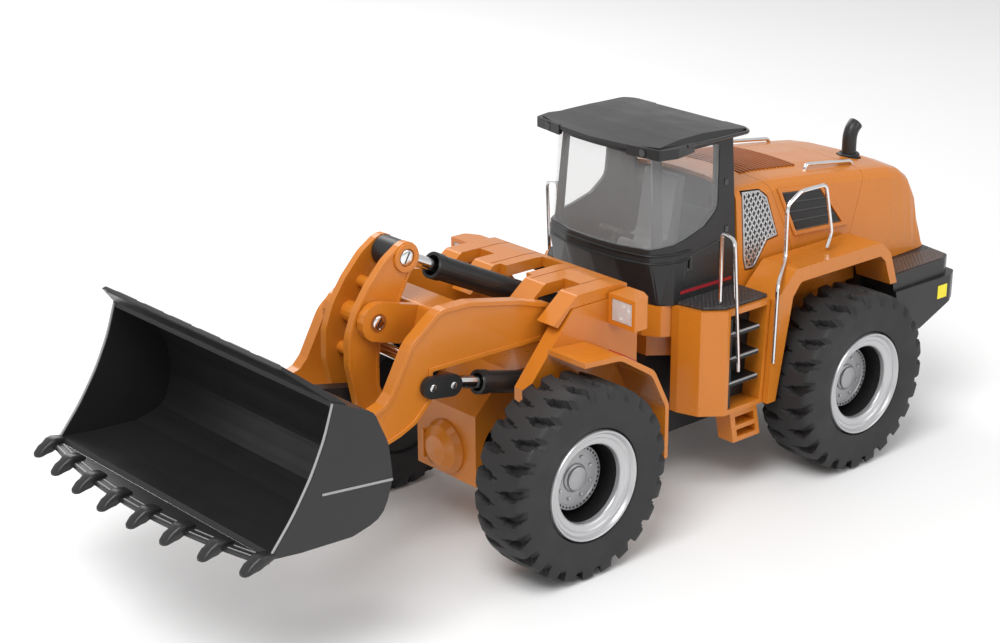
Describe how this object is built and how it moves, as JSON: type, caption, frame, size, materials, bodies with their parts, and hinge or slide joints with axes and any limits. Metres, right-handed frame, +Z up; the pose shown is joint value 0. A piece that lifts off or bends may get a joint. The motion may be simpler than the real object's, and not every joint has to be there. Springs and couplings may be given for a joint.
{
  "type": "toy front loader",
  "caption": "Articulated toy wheel loader with a lifting boom, a tilting toothed bucket worked by a bellcrank linkage, hydraulic-style cylinders, a cab and turning wheels.",
  "frame": {"origin": "on the ground, under the middle of the loader's bounding box", "axes": "-Y towards the bucket (front), +X to the loader's left side, +Z up"},
  "size_m": [0.209, 0.6012, 0.2252],
  "materials": {
    "orange_plastic": "satin",
    "black_plastic": "satin",
    "roof_plastic": "matte",
    "bucket_plastic": "satin",
    "chrome": "polished",
    "clear_plastic": "clear",
    "silver_screen": "satin",
    "rubber": "matte",
    "silver_plastic": "satin"
  },
  "bodies": {
    "rear": {"rear_chassis": "black_plastic", "hitch_pin": "chrome", "rear_axle": "black_plastic", "rear_body": "orange_plastic", "battery_pack": "black_plastic", "hood_front": "orange_plastic", "hood_middle": "orange_plastic", "hood_tail": "orange_plastic", "exhaust_stack": "black_plastic", "counterweight": "black_plastic", "cab_frame": "black_plastic", "cab_glass": "clear_plastic", "driver_seat": "black_plastic", "steering_console": "black_plastic", "cab_roof": "roof_plastic", "ladder_box_left": "orange_plastic", "ladder_left": "black_plastic", "catwalk_left": "black_plastic", "rear_fender_left": "orange_plastic", "grille_left": "silver_screen", "front_rail_left": "chrome", "rear_rail_left": "chrome", "ladder_box_right": "orange_plastic", "ladder_right": "black_plastic", "catwalk_right": "black_plastic", "rear_fender_right": "orange_plastic", "grille_right": "silver_screen", "front_rail_right": "chrome", "rear_rail_right": "chrome"},
    "front": {"front_chassis": "orange_plastic", "tower_cheeks": "orange_plastic", "tower_cover": "orange_plastic", "front_axle": "black_plastic", "front_fender_left": "orange_plastic", "headlight_left": "orange_plastic", "front_fender_right": "orange_plastic", "headlight_right": "orange_plastic"},
    "boom": {"boom": "orange_plastic", "lift_bracket_left": "black_plastic", "lift_bracket_right": "black_plastic"},
    "bucket": {"bucket": "bucket_plastic", "cutting_edge": "bucket_plastic"},
    "bellcrank": {"bellcrank": "orange_plastic"},
    "link": {"bucket_link": "black_plastic"},
    "tilt_barrel": {"tilt_barrel": "black_plastic"},
    "tilt_pin": {"tilt_pin": "chrome"},
    "tilt_rod": {"tilt_rod": "chrome"},
    "lift_barrel_left": {"lift_barrel_left": "black_plastic"},
    "lift_rod_left": {"lift_rod_left": "chrome"},
    "wheel_front_left": {"tyre_front_left": "rubber", "rim_front_left": "silver_plastic"},
    "wheel_rear_left": {"tyre_rear_left": "rubber", "rim_rear_left": "silver_plastic"},
    "lift_barrel_right": {"lift_barrel_right": "black_plastic"},
    "lift_rod_right": {"lift_rod_right": "chrome"},
    "wheel_front_right": {"tyre_front_right": "rubber", "rim_front_right": "silver_plastic"},
    "wheel_rear_right": {"tyre_rear_right": "rubber", "rim_rear_right": "silver_plastic"}
  },
  "joints": [
    {"name": "steer", "type": "hinge", "parent": "rear", "child": "front", "pos_m": [0, 0.03863, 0.065], "axis": [0, 0, 1], "range_deg": [-30, 30]},
    {"name": "boom_lift", "type": "hinge", "parent": "front", "child": "boom", "pos_m": [0, -0.02337, 0.118], "axis": [-1, 0, 0], "range_deg": [-31, 20]},
    {"name": "bucket_tilt", "type": "hinge", "parent": "boom", "child": "bucket", "pos_m": [0, -0.17737, 0.1], "axis": [-1, 0, 0], "range_deg": [-38, 31]},
    {"name": "bellcrank_turn", "type": "hinge", "parent": "boom", "child": "bellcrank", "pos_m": [0, -0.13937, 0.1515], "axis": [-1, 0, 0], "range_deg": [-7.4, 9.1]},
    {"name": "link_turn", "type": "hinge", "parent": "bellcrank", "child": "link", "pos_m": [0, -0.13937, 0.1035], "axis": [-1, 0, 0], "range_deg": [-17.4, 14.2]},
    {"name": "tilt_barrel_turn", "type": "hinge", "parent": "front", "child": "tilt_barrel", "pos_m": [0, 0.01463, 0.12], "axis": [-1, 0, 0], "range_deg": [-24.3, 15.8]},
    {"name": "tilt_pin_slide", "type": "slide", "parent": "boom", "child": "tilt_pin", "axis": [0, 0.7705, -0.6374], "range_m": [-0.0051, 0.0062]},
    {"name": "tilt_rod_turn", "type": "hinge", "parent": "tilt_pin", "child": "tilt_rod", "pos_m": [0, -0.11487, 0.182], "axis": [-1, 0, 0], "range_deg": [-4.7, 7]},
    {"name": "lift_barrel_turn_left", "type": "hinge", "parent": "front", "child": "lift_barrel_left", "pos_m": [0.0375, 0.01263, 0.084], "axis": [-1, 0, 0], "range_deg": [-20.7, 13.4]},
    {"name": "lift_rod_turn_left", "type": "hinge", "parent": "boom", "child": "lift_rod_left", "pos_m": [0.0375, -0.10937, 0.1146], "axis": [-1, 0, 0], "range_deg": [-7, 10.8]},
    {"name": "lift_barrel_turn_right", "type": "hinge", "parent": "front", "child": "lift_barrel_right", "pos_m": [-0.0375, 0.01263, 0.084], "axis": [-1, 0, 0], "range_deg": [-20.7, 13.4]},
    {"name": "lift_rod_turn_right", "type": "hinge", "parent": "boom", "child": "lift_rod_right", "pos_m": [-0.0375, -0.10937, 0.1146], "axis": [-1, 0, 0], "range_deg": [-7, 10.8]},
    {"name": "wheel_front_left_spin", "type": "hinge", "parent": "front", "child": "wheel_front_left", "pos_m": [0.085, -0.05697, 0.05782], "axis": [-1, 0, 0], "continuous": true},
    {"name": "wheel_front_right_spin", "type": "hinge", "parent": "front", "child": "wheel_front_right", "pos_m": [-0.085, -0.05697, 0.05782], "axis": [-1, 0, 0], "continuous": true},
    {"name": "wheel_rear_left_spin", "type": "hinge", "parent": "rear", "child": "wheel_rear_left", "pos_m": [0.085, 0.17823, 0.05782], "axis": [-1, 0, 0], "continuous": true},
    {"name": "wheel_rear_right_spin", "type": "hinge", "parent": "rear", "child": "wheel_rear_right", "pos_m": [-0.085, 0.17823, 0.05782], "axis": [-1, 0, 0], "continuous": true}
  ],
  "couplings": [
    {"joint": "bellcrank_turn", "follows": "bucket_tilt", "ratio": -0.236},
    {"joint": "link_turn", "follows": "bucket_tilt", "ratio": 0.454},
    {"joint": "tilt_barrel_turn", "follows": "boom_lift", "ratio": 0.777},
    {"joint": "tilt_pin_slide", "follows": "bucket_tilt", "m_per_rad": -0.0092},
    {"joint": "tilt_rod_turn", "follows": "boom_lift", "ratio": -0.223},
    {"joint": "lift_barrel_turn_left", "follows": "boom_lift", "ratio": 0.659},
    {"joint": "lift_rod_turn_left", "follows": "boom_lift", "ratio": -0.341},
    {"joint": "lift_barrel_turn_right", "follows": "boom_lift", "ratio": 0.659},
    {"joint": "lift_rod_turn_right", "follows": "boom_lift", "ratio": -0.341}
  ]
}
